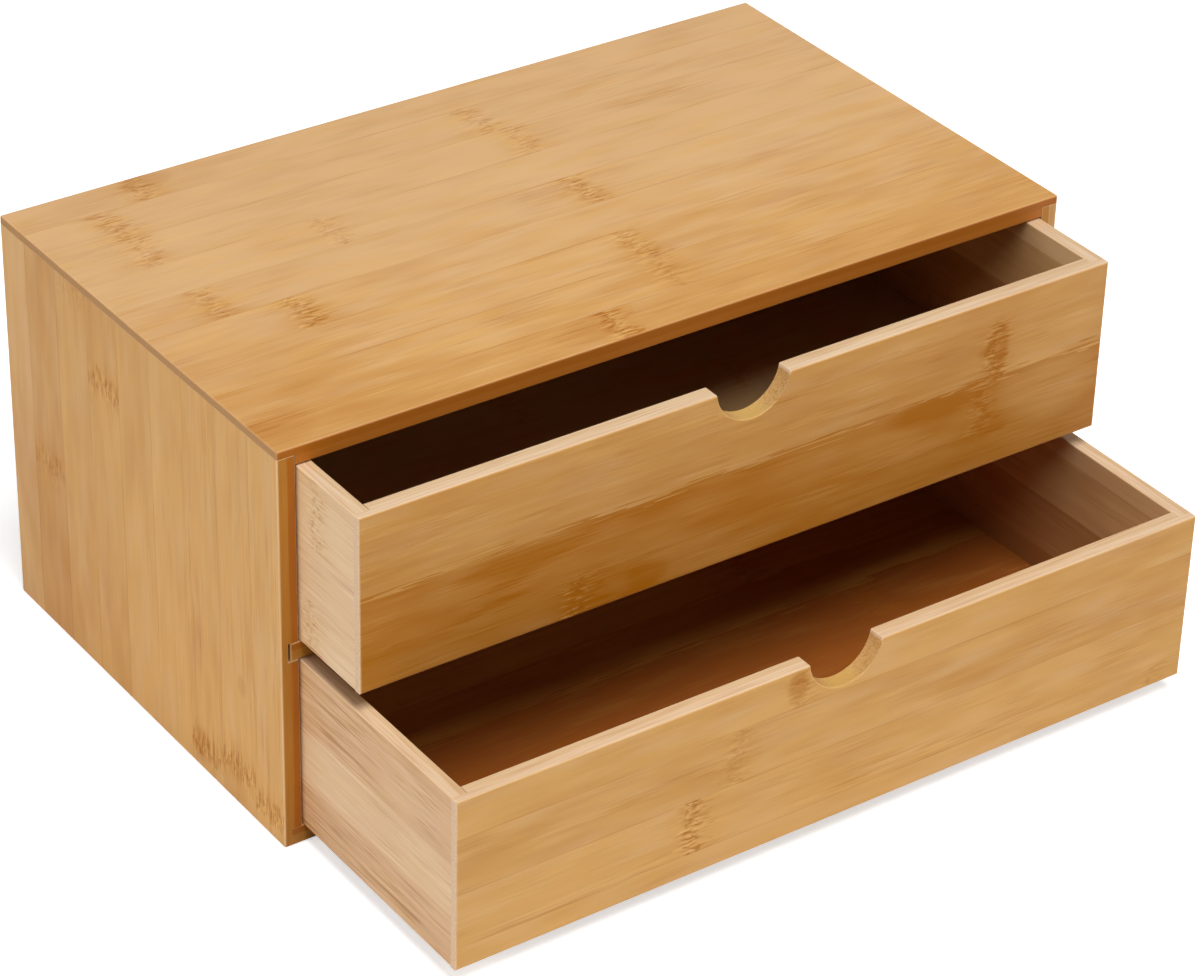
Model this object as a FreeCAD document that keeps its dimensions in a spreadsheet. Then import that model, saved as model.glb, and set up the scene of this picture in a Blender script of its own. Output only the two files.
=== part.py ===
import FreeCAD, Part
import os
import re

import Sketcher

# Desk drawer organizer: a low bamboo carcass with two open trays that slide out as drawers.
# Millimetres. X runs to the right along the front, Y runs from the front to the back, Z is up.
# The origin is the middle of the carcass's underside.

# Driving sizes
SIZES = (
    ("carcass_width", 330.0, "outside width of the carcass"),
    ("carcass_depth", 191.0, "outside depth of the carcass"),
    ("carcass_height", 160.0, "outside height of the carcass"),
    ("board", 7.0, "thickness of the top, bottom, sides and shelf"),
    ("lip", 3.0, "what a rebate leaves of a board, seen beside the joint"),
    ("back_thick", 5.0, "thickness of the back panel"),
    ("housing_depth", 4.0, "depth of the shelf's housing in a side"),
    ("housing_gap", 0.8, "gap between the shelf's end and the foot of its housing"),
    ("front_thick", 7.0, "thickness of a drawer front"),
    ("wall_thick", 6.0, "thickness of a drawer's sides and back"),
    ("tray_thick", 3.0, "thickness of a drawer's bottom"),
    ("tray_level", 4.0, "height of a drawer's bottom over its lower edge"),
    ("groove_depth", 3.0, "depth of the grooves that hold a drawer's bottom"),
    ("groove_gap", 0.2, "gap between a drawer's bottom and the foot of its groove"),
    ("drawer_depth", 184.0, "outside depth of a drawer"),
    ("beside_gap", 0.5, "running gap at each side of a drawer"),
    ("under_gap", 0.3, "running gap under a drawer"),
    ("over_gap", 0.5, "running gap over a drawer"),
    ("notch_radius", 15.5, "radius of the finger notch in a drawer front"),
    ("notch_rise", 1.75, "height of the notch's centre over the front's top edge"),
    ("round_over", 0.8, "radius of the carcass's outer corners and of a drawer front's rim"),
    ("eased", 0.5, "radius of the other eased edges"),
    ("broken", 0.25, "chamfer round the back panel"),
    ("upper_out", 38.0, "how far the upper drawer stands out at rest"),
    ("lower_out", 96.0, "how far the lower drawer stands out at rest"),
)

# Sizes that several boards share, as formulas in the driving sizes
BAY_HEIGHT = "(carcass_height - 3 * board) / 2"
SIDE_HEIGHT = "(carcass_height - lip)"
INNER_WIDTH = "(carcass_width - 2 * lip)"
DRAWER_WIDTH = "(carcass_width - 2 * board - 2 * beside_gap)"
DRAWER_HEIGHT = "(" + BAY_HEIGHT + " - under_gap - over_gap)"
WALL_LENGTH = "(drawer_depth - 2 * lip)"
REBATE = "(board - lip)"
TRAY_REACH = "(groove_depth - groove_gap)"

# Tests and turns
NEAR = 1e-3
LEAST_CUT = 1.0
HALF_TURN = 180.0
ABOUT_Z = FreeCAD.Vector(0, 0, 1)

doc = FreeCAD.newDocument("desk_drawer_organizer")


def make_sheet():
    """The sheet that holds the driving sizes, one alias per size."""
    sheet = doc.addObject("Spreadsheet::Sheet", "Sizes")
    for row, (alias, size, note) in enumerate(SIZES, start=1):
        sheet.set("A%d" % row, note)
        sheet.set("B%d" % row, str(size))
        sheet.setAlias("B%d" % row, alias)
    doc.recompute()
    return sheet


sheet = make_sheet()


def formula(text):
    """A formula in the sheet's aliases, as the document's expressions want it."""
    return re.sub(r"[a-z_]+", lambda word: "Sizes." + word.group(), text)


def bind(thing, setting, text):
    thing.setExpression(setting, formula(text))


def number(text):
    return float(sheet.evalExpression(formula(text)))


# Sketches and features

def new_body(label):
    body = doc.addObject("PartDesign::Body", label)
    body.Label = label
    return body


def new_sketch(body, name, plane):
    """An empty sketch on one of the body's own origin planes."""
    sketch = body.newObject("Sketcher::SketchObject", name)
    for feature in body.Origin.OriginFeatures:
        if feature.Role == plane:
            sketch.AttachmentSupport = [(feature, "")]
    sketch.MapMode = "FlatFace"
    return sketch


def fix_edge(sketch, edge, direction, text, name):
    """Holds a level edge at a height, or an upright edge at a distance from the sketch's origin."""
    axis = {"X": -2, "Y": -1}[direction]
    if text == "0":
        sketch.addConstraint(Sketcher.Constraint("PointOnObject", edge, 1, axis))
        return
    row = sketch.addConstraint(
        Sketcher.Constraint("Distance" + direction, -1, 1, edge, 1, number(text))
    )
    sketch.renameConstraint(row, name)
    bind(sketch, "Constraints." + name, text)


def stepped_outline(body, name, plane, xs, ys):
    """A closed outline of level and upright edges, in turn: level at ys[0], upright at xs[1]..."""
    sketch = new_sketch(body, name, plane)
    corners = []
    for step in range(len(xs)):
        corners.append((xs[step], ys[step]))
        corners.append((xs[(step + 1) % len(xs)], ys[step]))
    places = [FreeCAD.Vector(number(x), number(y), 0) for x, y in corners]
    count = len(places)
    for edge in range(count):
        sketch.addGeometry(Part.LineSegment(places[edge], places[(edge + 1) % count]), False)
    for edge in range(count):
        sketch.addConstraint(Sketcher.Constraint("Coincident", edge, 2, (edge + 1) % count, 1))
        level = edge % 2 == 0
        kind = "Horizontal" if level else "Vertical"
        sketch.addConstraint(Sketcher.Constraint(kind, edge))
        if level:
            fix_edge(sketch, edge, "Y", corners[edge][1], "level_%d" % edge)
        else:
            fix_edge(sketch, edge, "X", corners[edge][0], "upright_%d" % edge)
    return sketch


def circle_outline(body, name, plane, x, y, radius):
    sketch = new_sketch(body, name, plane)
    centre = FreeCAD.Vector(number(x), number(y), 0)
    sketch.addGeometry(Part.Circle(centre, ABOUT_Z, number(radius)), False)
    rows = (
        ("radius", Sketcher.Constraint("Radius", 0, number(radius)), radius),
        ("centre_x", Sketcher.Constraint("DistanceX", -1, 1, 0, 3, number(x)), x),
        ("centre_y", Sketcher.Constraint("DistanceY", -1, 1, 0, 3, number(y)), y),
    )
    for label, constraint, text in rows:
        row = sketch.addConstraint(constraint)
        sketch.renameConstraint(row, label)
        bind(sketch, "Constraints." + label, text)
    return sketch


def pad(body, sketch, length, backwards=False):
    feature = body.newObject("PartDesign::Pad", "Pad")
    feature.Profile = sketch
    feature.Reversed = backwards
    bind(feature, "Length", length)
    doc.recompute()
    return feature


def pocket(body, sketch, name, backwards=False):
    """A cut right through the body; it has to take something away."""
    before = body.Shape.Volume
    feature = body.newObject("PartDesign::Pocket", name)
    feature.Profile = sketch
    feature.Type = "ThroughAll"
    feature.Reversed = backwards
    doc.recompute()
    if body.Shape.Volume > before - LEAST_CUT:
        raise RuntimeError(body.Label + ": " + name + " cuts nothing")
    return feature


def edges_on(feature, *faces):
    """The names of the straight or round edges that lie wholly in one of the given planes."""
    found = []
    for row, edge in enumerate(feature.Shape.Edges, start=1):
        box = edge.BoundBox
        spans = {
            "x": (box.XMin, box.XMax),
            "y": (box.YMin, box.YMax),
            "z": (box.ZMin, box.ZMax),
        }
        for axis, place in faces:
            low, high = spans[axis]
            if abs(low - place) < NEAR and abs(high - place) < NEAR:
                found.append("Edge%d" % row)
                break
    return found


def round_edges(feature, axis, place):
    """The names of the round edges in one plane."""
    flat = edges_on(feature, (axis, place))
    curves = feature.Shape.Edges
    return [name for name in flat if isinstance(curves[int(name[4:]) - 1].Curve, Part.Circle)]


def shared(some, others):
    return [name for name in some if name in others]


def without(some, others):
    return [name for name in some if name not in others]


def soften(body, kind, name, edges, size):
    """Rounds (Fillet) or chamfers (Chamfer) the named edges of the body's last feature."""
    base = body.Tip
    feature = body.newObject("PartDesign::" + kind, name)
    feature.Base = (base, edges)
    bind(feature, "Radius" if kind == "Fillet" else "Size", size)
    doc.recompute()
    return feature


def place(body, x, y, z, axis=None):
    """Puts the body's origin at x, y, z, after half a turn about an axis of its own."""
    if axis is not None:
        body.Placement = FreeCAD.Placement(FreeCAD.Vector(), FreeCAD.Rotation(axis, HALF_TURN))
    for letter, text in (("x", x), ("y", y), ("z", z)):
        bind(body, "Placement.Base." + letter, text)


# Carcass

def top_panel():
    """The top: its tongue fits between the sides, and its lips lap over their upper ends.

    Its own origin is the front left corner, with the tongue's face at z = 0.
    """
    body = new_body("top_panel")
    section = stepped_outline(
        body, "Section", "XZ_Plane",
        ["board", "carcass_width - board", "carcass_width", "0"],
        ["0", REBATE, "board", REBATE],
    )
    pad(body, section, "carcass_depth", backwards=True)
    seat = stepped_outline(
        body, "BackSeat", "YZ_Plane",
        ["carcass_depth - back_thick", "carcass_depth"],
        ["0", REBATE],
    )
    pocket(body, seat, "BackRebate", backwards=True)
    outer = edges_on(body.Tip, ("z", number("board")))
    ends = edges_on(body.Tip, ("x", 0.0), ("x", number("carcass_width")))
    outer += shared(ends, edges_on(body.Tip, ("y", 0.0), ("y", number("carcass_depth"))))
    soften(body, "Fillet", "RoundOver", outer, "round_over")
    mouth = shared(edges_on(body.Tip, ("z", 0.0)), edges_on(body.Tip, ("y", 0.0)))
    soften(body, "Fillet", "Mouth", mouth, "eased")
    return body


def bottom_panel():
    """The bottom, let into the sides' lower rebates. Its own origin is its lower front left corner."""
    body = new_body("bottom_panel")
    section = stepped_outline(
        body, "Section", "YZ_Plane",
        ["0", "carcass_depth", "carcass_depth - back_thick"],
        ["0", "lip", "board"],
    )
    pad(body, section, INNER_WIDTH)
    front = edges_on(body.Tip, ("y", 0.0))
    ends = edges_on(body.Tip, ("x", 0.0), ("x", number(INNER_WIDTH)))
    soften(body, "Fillet", "Eased", without(front, ends), "eased")
    return body


def left_side_panel():
    """The left side: a housing for the shelf, and rebates for the back and the bottom.

    Its own origin is the lower front outer corner, with the inner face at x = board.
    """
    body = new_body("left_side_panel")
    plan = stepped_outline(
        body, "Plan", "XY_Plane",
        ["0", "board", "lip"],
        ["0", "carcass_depth - back_thick", "carcass_depth"],
    )
    pad(body, plan, SIDE_HEIGHT)
    housing = stepped_outline(
        body, "Housing", "XZ_Plane",
        ["board - housing_depth", "board"],
        ["(carcass_height - board) / 2", "(carcass_height + board) / 2"],
    )
    pocket(body, housing, "ShelfHousing")
    outer = edges_on(body.Tip, ("x", 0.0))
    upright = shared(outer, edges_on(body.Tip, ("y", 0.0), ("y", number("carcass_depth"))))
    soften(body, "Fillet", "RoundOver", upright, "round_over")
    rim = edges_on(body.Tip, ("x", 0.0))
    soften(body, "Fillet", "Eased", rim + without(edges_on(body.Tip, ("y", 0.0)), rim), "eased")
    seat = stepped_outline(
        body, "BottomSeat", "XZ_Plane",
        ["lip", "board"],
        ["0", "board"],
    )
    pocket(body, seat, "BottomRebate")
    return body


def mirror_image(body, label):
    """The body's mirror image in the carcass's middle plane."""
    mirrored = doc.addObject("Part::Mirroring", label)
    mirrored.Label = label
    mirrored.Source = body
    mirrored.Normal = FreeCAD.Vector(1, 0, 0)
    return mirrored


def middle_shelf():
    """The shelf between the drawers. Its own origin is its lower front left corner."""
    body = new_body("middle_shelf")
    width = "carcass_width - 2 * (board - housing_depth + housing_gap)"
    plan = stepped_outline(
        body, "Plan", "XY_Plane",
        ["0", width],
        ["0", "carcass_depth - back_thick"],
    )
    pad(body, plan, "board")
    soften(body, "Fillet", "Eased", edges_on(body.Tip, ("y", 0.0)), "eased")
    return body


def back_panel():
    """The back, let into the rebates behind. Its own origin is its lower front left corner."""
    body = new_body("back_panel")
    plan = stepped_outline(
        body, "Plan", "XY_Plane",
        ["0", INNER_WIDTH],
        ["0", "back_thick"],
    )
    pad(body, plan, SIDE_HEIGHT + " - lip")
    soften(body, "Chamfer", "Rim", edges_on(body.Tip, ("y", number("back_thick"))), "broken")
    return body


def make_carcass():
    left = "-carcass_width / 2"
    front = "-carcass_depth / 2"
    top = top_panel()
    place(top, left, front, "carcass_height - board")
    bottom = bottom_panel()
    place(bottom, left + " + lip", front, "0")
    left_side = left_side_panel()
    place(left_side, left, front, "0")
    right_side = mirror_image(left_side, "right_side_panel")
    shelf = middle_shelf()
    shelf_left = left + " + board - housing_depth + housing_gap"
    place(shelf, shelf_left, front, "(carcass_height - board) / 2")
    back = back_panel()
    place(back, left + " + lip", "carcass_depth / 2 - back_thick", "lip")
    return [top, bottom, left_side, right_side, shelf, back]


# Drawers

def drawer_front(label):
    """A drawer front: ends rebated over the sides, a groove for the bottom, a finger notch.

    Its own origin is its lower left corner in front.
    """
    body = new_body(label)
    plan = stepped_outline(
        body, "Plan", "XY_Plane",
        ["0", DRAWER_WIDTH, DRAWER_WIDTH + " - wall_thick", "wall_thick"],
        ["0", "lip", "front_thick", "lip"],
    )
    pad(body, plan, DRAWER_HEIGHT)
    groove = stepped_outline(
        body, "Groove", "YZ_Plane",
        ["front_thick - groove_depth", "front_thick"],
        ["tray_level", "tray_level + tray_thick"],
    )
    pocket(body, groove, "TrayGroove", backwards=True)
    notch = circle_outline(
        body, "Notch", "XZ_Plane",
        DRAWER_WIDTH + " / 2", DRAWER_HEIGHT + " + notch_rise", "notch_radius",
    )
    pocket(body, notch, "FingerNotch")
    rim = without(edges_on(body.Tip, ("y", 0.0)), round_edges(body.Tip, "y", 0.0))
    soften(body, "Fillet", "RoundOver", rim, "round_over")
    shown = edges_on(body.Tip, ("z", number(DRAWER_HEIGHT)))
    shown += round_edges(body.Tip, "y", 0.0)
    shown += round_edges(body.Tip, "y", number("front_thick"))
    joints = edges_on(body.Tip, ("y", number("lip")))
    for end in ("wall_thick", DRAWER_WIDTH + " - wall_thick"):
        joints += edges_on(body.Tip, ("x", number(end)))
    soften(body, "Fillet", "Eased", without(shown, joints), "eased")
    return body


def drawer_wall(label):
    """A drawer side: a plain board with a groove for the bottom.

    Its own origin is the lower front outer corner, with the inner face at x = wall_thick. The
    board is the same end for end, so a left side turned about is a right side.
    """
    body = new_body(label)
    plan = stepped_outline(
        body, "Plan", "XY_Plane",
        ["0", "wall_thick"],
        ["0", WALL_LENGTH],
    )
    pad(body, plan, DRAWER_HEIGHT)
    groove = stepped_outline(
        body, "Groove", "XZ_Plane",
        ["wall_thick - groove_depth", "wall_thick"],
        ["tray_level", "tray_level + tray_thick"],
    )
    pocket(body, groove, "TrayGroove")
    shown = edges_on(body.Tip, ("z", 0.0), ("z", number(DRAWER_HEIGHT)))
    ends = edges_on(body.Tip, ("y", 0.0), ("y", number(WALL_LENGTH)))
    soften(body, "Fillet", "Eased", without(shown, ends), "eased")
    return body


def drawer_back(label):
    """A drawer back: its ends lap over the sides as the front's do. Its own origin is its lower
    left corner, with the inner face at y = 0.
    """
    body = new_body(label)
    plan = stepped_outline(
        body, "Plan", "XY_Plane",
        ["wall_thick", DRAWER_WIDTH + " - wall_thick", DRAWER_WIDTH, "0"],
        ["0", "wall_thick - lip", "wall_thick", "wall_thick - lip"],
    )
    pad(body, plan, DRAWER_HEIGHT)
    groove = stepped_outline(
        body, "Groove", "YZ_Plane",
        ["0", "groove_depth"],
        ["tray_level", "tray_level + tray_thick"],
    )
    pocket(body, groove, "TrayGroove", backwards=True)
    shown = edges_on(body.Tip, ("y", number("wall_thick")), ("z", number(DRAWER_HEIGHT)))
    joints = edges_on(body.Tip, ("y", number("wall_thick - lip")))
    for end in ("wall_thick", DRAWER_WIDTH + " - wall_thick"):
        joints += edges_on(body.Tip, ("x", number(end)))
    soften(body, "Fillet", "Eased", without(shown, joints), "eased")
    return body


def drawer_tray(label):
    """A drawer's bottom, with its edges in the four grooves."""
    body = new_body(label)
    plan = stepped_outline(
        body, "Plan", "XY_Plane",
        ["0", DRAWER_WIDTH + " - 2 * wall_thick + 2 * " + TRAY_REACH],
        ["0", "drawer_depth - front_thick - wall_thick + 2 * " + TRAY_REACH],
    )
    pad(body, plan, "tray_thick")
    return body


def make_drawer(which, out, floor):
    """A whole drawer, standing out by out, with its lower edge over the given floor."""
    left = "-" + DRAWER_WIDTH + " / 2"
    right = DRAWER_WIDTH + " / 2"
    face = "-carcass_depth / 2 - " + out
    level = floor + " + under_gap"
    front = drawer_front(which + "_drawer_front")
    place(front, left, face, level)
    left_side = drawer_wall(which + "_drawer_left_side")
    place(left_side, left, face + " + lip", level)
    right_side = drawer_wall(which + "_drawer_right_side")
    place(right_side, right, face + " + drawer_depth - lip", level, ABOUT_Z)
    back = drawer_back(which + "_drawer_back")
    place(back, left, face + " + drawer_depth - wall_thick", level)
    tray = drawer_tray(which + "_drawer_bottom")
    place(
        tray,
        left + " + wall_thick - " + TRAY_REACH,
        face + " + front_thick - " + TRAY_REACH,
        level + " + tray_level",
    )
    return [front, left_side, right_side, back, tray]


def check_and_write(bodies):
    """Every object has to be in order, and every shape one valid solid, before a file is written."""
    doc.recompute()
    for thing in doc.Objects:
        if "Invalid" in thing.State or "Error" in thing.State:
            raise RuntimeError(thing.Label + " is " + ", ".join(thing.State))
    for body in bodies:
        shape = body.Shape
        if shape.isNull() or not shape.isValid() or len(shape.Solids) != 1:
            raise RuntimeError(body.Label + " is not one valid solid")
    os.makedirs("parts", exist_ok=True)
    for body in bodies:
        body.Shape.exportStep("parts/" + body.Label + ".step")
        print(body.Label, round(body.Shape.Volume / 1000.0, 1), "cm3")


bodies = make_carcass()
bodies += make_drawer("upper", "upper_out", "(carcass_height + board) / 2")
bodies += make_drawer("lower", "lower_out", "board")
check_and_write(bodies)
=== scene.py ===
"""Looks, stage and camera for a desk drawer organizer made of laminated bamboo boards.

Every board is a CAD node that keeps its mesh and gets its own bamboo finish. Its strips, joints, knuckles
and fibres are worked out from where a point lies in the board: in millimetres along the grain, across the
strips and through the thickness.
"""

import math
from collections import namedtuple

import bpy
from bpy.props import FloatProperty, FloatVectorProperty, PointerProperty
from bpy.types import Operator, Panel, PropertyGroup
from mathutils import Matrix, Vector


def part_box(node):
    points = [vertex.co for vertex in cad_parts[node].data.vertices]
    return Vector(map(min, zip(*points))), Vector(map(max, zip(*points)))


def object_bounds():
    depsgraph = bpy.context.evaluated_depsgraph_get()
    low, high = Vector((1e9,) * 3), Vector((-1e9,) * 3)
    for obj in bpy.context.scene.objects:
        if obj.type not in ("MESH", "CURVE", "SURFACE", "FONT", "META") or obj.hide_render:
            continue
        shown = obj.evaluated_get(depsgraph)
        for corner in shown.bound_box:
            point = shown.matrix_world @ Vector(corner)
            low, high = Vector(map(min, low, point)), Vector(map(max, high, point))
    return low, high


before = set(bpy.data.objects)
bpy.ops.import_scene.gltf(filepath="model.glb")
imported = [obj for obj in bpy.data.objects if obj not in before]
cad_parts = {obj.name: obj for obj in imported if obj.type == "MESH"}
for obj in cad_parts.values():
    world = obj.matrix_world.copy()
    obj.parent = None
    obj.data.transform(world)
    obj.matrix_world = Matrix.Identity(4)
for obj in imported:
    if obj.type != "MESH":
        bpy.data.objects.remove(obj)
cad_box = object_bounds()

bl_info = {
    "name": "Bamboo Drawer Organizer",
    "version": (1, 0, 0),
    "blender": (4, 5, 0),
    "location": "3D View > Sidebar > Organizer",
    "description": "Finishes the boards of a two-drawer desk organizer and sets up its stage and camera",
    "category": "Object",
}

MM = 0.001
AXES = "xyz"


# Properties


def colour(name, description, default):
    """A colour that the user can change."""
    return FloatVectorProperty(
        name=name, description=description, default=default, subtype="COLOR", size=3, min=0.0, max=1.0
    )


def length(name, description, default, **limits):
    """A length that the user can change."""
    return FloatProperty(
        name=name, description=description, default=default, subtype="DISTANCE", unit="LENGTH", **limits
    )


def share(name, description, default, most=1.0):
    """A share from nothing to most that the user can change."""
    return FloatProperty(
        name=name, description=description, default=default, subtype="FACTOR", min=0.0, max=most
    )


def angle(name, description, default):
    """An angle that the user can change."""
    return FloatProperty(
        name=name, description=description, default=default, subtype="ANGLE", unit="ROTATION"
    )


class BambooColours(PropertyGroup):
    """Colours of the lacquered bamboo."""

    honey: colour("Honey", "Golden face of a carcass or front board", (0.655, 0.350, 0.100))
    blush: colour("Blush", "Pinker parts of a face", (0.685, 0.408, 0.180))
    toasted: colour("Toasted", "Darkest strips of a face", (0.420, 0.140, 0.003))
    blonde: colour("Blonde", "Palest fibres of a golden face", (0.830, 0.490, 0.185))
    pale: colour("Pale", "Face of a drawer's side and back boards", (0.690, 0.430, 0.210))
    pale_blush: colour("Pale blush", "Pinker parts of a drawer's boards", (0.690, 0.430, 0.250))
    umber: colour("Umber", "Dark fibres of a drawer's boards", (0.420, 0.190, 0.060))
    # Bleached also pales the rounded corners of every board, partly as rubbing with use and partly as a
    # painted highlight
    bleached: colour("Bleached", "Palest fibres of a drawer's boards", (0.800, 0.580, 0.350))
    cream: colour("Cream", "Lighter layers on the long edges of the drawer boards", (0.740, 0.535, 0.345))
    biscuit: colour("Biscuit", "Darker layers on the long edges of the drawer boards", (0.690, 0.480, 0.280))
    amber: colour("Amber", "Lighter layers on the long edges of the carcass boards", (0.470, 0.200, 0.030))
    russet: colour("Russet", "Darker layers on the long edges of the carcass boards", (0.410, 0.125, 0.011))
    cinnamon: colour("Cinnamon", "Lower layer on the top panel's long edges", (0.460, 0.150, 0.019))
    straw: colour("Straw", "Outer layer on the right side's long edges", (0.620, 0.350, 0.130))
    # Tray is painted shade: darker than the tray's own bamboo, for the shade in which the lower drawer's
    # front part lies. The colour after it is painted light that lifts the back part, which lies in the upper
    # drawer's shadow.
    tray: colour("Tray", "Front of the lower drawer's bottom board", (0.300, 0.084, 0.014))
    tray_painted_light: colour("Faded tray", "Back of the lower drawer's bottom board", (0.500, 0.240, 0.045))
    tray_shade: colour("Tray shade", "Face of the upper drawer's bottom board", (0.420, 0.260, 0.120))
    end_grain: colour("End grain", "Sawn ends of the carcass boards", (0.430, 0.220, 0.075))
    lip: colour("Lip", "Sawn ends of the drawer boards", (0.740, 0.520, 0.340))
    cut: colour("Cut", "Cut face of a finger notch", (0.600, 0.370, 0.110))
    rough_cut: colour("Rough cut", "Steep walls of a finger notch", (0.570, 0.330, 0.120))
    scar: colour("Scar", "Dark spots in a knuckle", (0.260, 0.080, 0.006))

    def tint(self, name):
        """One of the colours, by its name."""
        return tuple(getattr(self, name))


class GrainSizes(PropertyGroup):
    """Sizes of what shows in the bamboo."""

    strip: length("Strip width", "Width of one bamboo strip in a board", 0.022, min=0.004)
    joint: length("Joint width", "Width of the line between two strips", 0.0006, min=0.0001)
    knuckle: length("Knuckle length", "Length of a knuckle along the grain", 0.010, min=0.001)
    fibre: length("Fibre width", "Width of a fine fibre", 0.0007, min=0.0001)
    relief: length("Relief", "Depth of the grain under the lacquer", 0.00012, min=0.0)
    roughness: share("Roughness", "Roughness of the satin lacquer", 0.42)
    sheen: share("Sheen", "Level of the lacquer's reflection", 0.22)


class StudioSettings(PropertyGroup):
    """Sizes and levels of the stage."""

    floor: length("Floor size", "Side of the square floor", 14.0, min=2.0)
    floor_colour: colour("Floor colour", "Colour of the plain floor", (0.85, 0.85, 0.85))
    backdrop: colour("Backdrop colour", "Colour behind the object", (1.0, 1.0, 1.0))
    lift: share("Floor lift", "What the floor near the object adds to itself to show as white", 0.58)
    ambient: share("Ambient level", "Level of the light from all around", 0.09)
    key: share("Key level", "Light of the key softbox on a surface that faces it", 0.97, 4.0)
    side: share("Side level", "Light of the side softbox on a surface that faces it", 0.33, 4.0)
    fill: share("Fill level", "Light of the fill softbox on a surface that faces it", 0.16, 4.0)


class CameraSettings(PropertyGroup):
    """Where the camera stands."""

    aim: FloatVectorProperty(
        name="Aim",
        description="Point in the middle of the picture",
        default=(-0.00517, -0.0525, 0.06941),
        subtype="TRANSLATION",
        unit="LENGTH",
        size=3,
    )
    distance: length("Distance", "Distance from the camera to its aim", 1.49214, min=0.1)
    azimuth: angle("Azimuth", "Turn of the camera about the upright axis", math.radians(-35.5428))
    elevation: angle("Elevation", "How far the camera looks down", math.radians(32.1883))
    roll: angle("Roll", "Turn of the picture about the line of sight", math.radians(1.5243))
    lens: FloatProperty(
        name="Focal length",
        description="Focal length in millimetres",
        default=123.789,
        min=1.0,
        unit="CAMERA",
    )


class OrganizerSettings(PropertyGroup):
    """Everything that the organizer's operators read."""

    colours: PointerProperty(type=BambooColours)
    grain: PointerProperty(type=GrainSizes)
    studio: PointerProperty(type=StudioSettings)
    camera: PointerProperty(type=CameraSettings)


# Shader maths


class Value:
    """A number in a material that varies over a surface. Each operator on it adds a Math node."""

    def __init__(self, bench, socket):
        self.bench = bench
        self.socket = socket

    def maths(self, operation, *terms):
        return self.bench.add("ShaderNodeMath", {"operation": operation}, dict(enumerate(terms)))

    def __add__(self, other):
        return self.maths("ADD", self, other)

    def __radd__(self, other):
        return self.maths("ADD", other, self)

    def __sub__(self, other):
        return self.maths("SUBTRACT", self, other)

    def __rsub__(self, other):
        return self.maths("SUBTRACT", other, self)

    def __mul__(self, other):
        return self.maths("MULTIPLY", self, other)

    def __rmul__(self, other):
        return self.maths("MULTIPLY", other, self)

    def __lt__(self, other):
        return self.maths("LESS_THAN", self, other)

    def __gt__(self, other):
        return self.maths("GREATER_THAN", self, other)

    def __abs__(self):
        return self.maths("ABSOLUTE", self)

    def __floor__(self):
        return self.maths("FLOOR", self)

    def least(self, other):
        return self.maths("MINIMUM", self, other)

    def most(self, other):
        return self.maths("MAXIMUM", self, other)

    def rise(self, start, end):
        """0 below start and 1 above end, with a smooth rise between them."""
        settings = {"interpolation_type": "SMOOTHSTEP"}
        sockets = {"Value": self, "From Min": start, "From Max": end}
        return self.bench.add("ShaderNodeMapRange", settings, sockets)

    def fall(self, start, end):
        """1 below start and 0 above end, with a smooth fall between them."""
        return 1 - self.rise(start, end)


class Bench:
    """The node tree of a material or world, with the one method that adds a node to it."""

    def __init__(self, tree):
        self.tree = tree
        tree.nodes.clear()

    def add(self, kind, settings=None, sockets=None, output=0):
        """Adds a node of that kind, sets it up, fills its sockets, and gives one of its outputs."""
        node = self.tree.nodes.new(kind)
        for name, value in (settings or {}).items():
            if name == "stops":
                self.set_stops(node.color_ramp, value)
            else:
                setattr(node, name, value)
        for key, value in (sockets or {}).items():
            if isinstance(value, Value):
                self.tree.links.new(value.socket, node.inputs[key])
            else:
                node.inputs[key].default_value = value
        return Value(self, node.outputs[output]) if node.outputs else node

    @staticmethod
    def set_stops(ramp, stops):
        """Fills a ramp that steps from one stop to the next."""
        ramp.interpolation = "CONSTANT"
        while len(ramp.elements) < len(stops):
            ramp.elements.new(1.0)
        for place, (element, stop) in enumerate(zip(ramp.elements, stops)):
            element.position = place / len(stops)
            element.color = stop

    def mix(self, factor, a, b):
        """Colour a turned into colour b by a factor."""
        first, second = (c if isinstance(c, Value) else (*c, 1.0) for c in (a, b))
        return self.add("ShaderNodeMix", {"data_type": "RGBA"}, {0: factor, 6: first, 7: second}, output=2)

    def vector(self, x, y, z=0.0):
        return self.add("ShaderNodeCombineXYZ", {}, {"X": x, "Y": y, "Z": z})

    def noise(self, vector, detail=1.0, roughness=0.5, **settings):
        """Soft noise about a half, with grains of about one unit of the vector."""
        sockets = {"Vector": vector, "Scale": 1.0, "Detail": detail, "Roughness": roughness}
        return self.add("ShaderNodeTexNoise", settings, sockets)

    def flat_noise(self, x, y):
        """Soft noise about a half over a plane."""
        return self.noise(self.vector(x, y), noise_dimensions="2D")

    def three_flat_noises(self, x, y):
        """Three soft noises of their own over a plane."""
        return self.parts(Value(self, self.flat_noise(x, y).socket.node.outputs["Color"]))

    def parts(self, vector):
        """The three numbers of a vector."""
        split = self.add("ShaderNodeSeparateXYZ", {}, {"Vector": vector})
        return [Value(self, out) for out in split.socket.node.outputs]


# Boards

# One strip of bamboo: how light, pink and streaky it is, from 0 to 1, and up to two knuckles, each with its
# place along the board in millimetres and its strength.
Strip = namedtuple("Strip", "light blush fibres knuckles")

# An oval place that stands out on a board, in millimetres: more fibres, and a stain that darkens it, or
# lightens it where the number is negative.
Mark = namedtuple("Mark", "along across half_length half_width fibres stain")

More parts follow.
